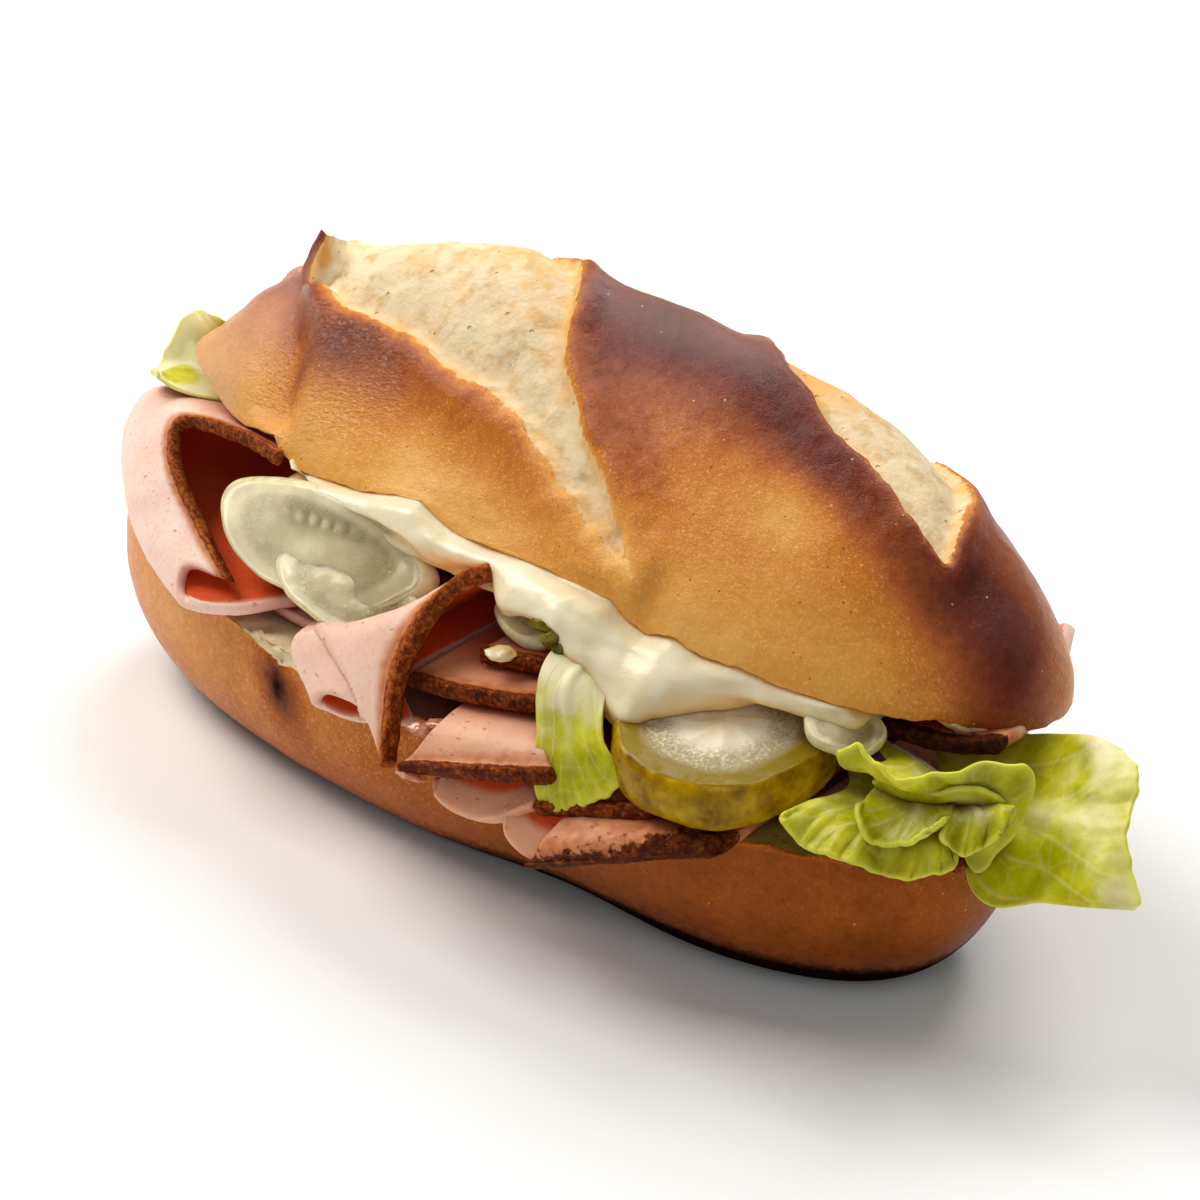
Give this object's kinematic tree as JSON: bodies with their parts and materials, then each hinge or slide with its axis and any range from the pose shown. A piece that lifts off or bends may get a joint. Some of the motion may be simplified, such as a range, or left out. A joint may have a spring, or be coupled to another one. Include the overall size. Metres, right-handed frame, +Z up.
{
  "type": "leberkase sandwich",
  "caption": "Long lye bread roll, split and filled at its open front with folded slices of meat loaf, gherkin, creamy sauce and frilly lettuce.",
  "frame": {"origin": "middle of the bounding box, on the surface that the roll stands on", "axes": "+X along the roll towards its right end as seen from the open front, -Y towards the open front, +Z up"},
  "size_m": [0.2144, 0.094, 0.0881],
  "materials": {
    "crust": "baked lye crust, golden to dark brown, softly glossy",
    "meat": "pale pink fine-grained meat loaf with a dark brown baked rind, moist",
    "gherkin": "wet olive green skin with pale translucent flesh",
    "lettuce": "thin yellow-green leaf with pale ribs, slightly waxy",
    "sauce": "thick ivory mayonnaise-like sauce, glossy"
  },
  "bodies": {
    "root": {"bun_bottom": "crust", "bun_top": "crust", "meat_left_fold": "meat", "meat_cone": "meat", "meat_stack_low": "meat", "meat_stack_mid": "meat", "meat_flap": "meat", "meat_strip": "meat", "meat_strip_top": "meat", "meat_curl": "meat", "meat_curl_low": "meat", "meat_left_low": "meat", "meat_left_inner": "meat", "meat_left_mid": "meat", "meat_right_low": "meat", "meat_right_high": "meat", "pickle_front": "gherkin", "pickle_left": "gherkin", "pickle_left_low": "gherkin", "pickle_mid": "gherkin", "pickle_right": "gherkin", "pickle_back": "gherkin", "lettuce_mid": "lettuce", "lettuce_outer": "lettuce", "lettuce_frill": "lettuce", "lettuce_frill_low": "lettuce", "lettuce_left": "lettuce", "lettuce_back": "lettuce", "sauce": "sauce"}
  },
  "joints": []
}
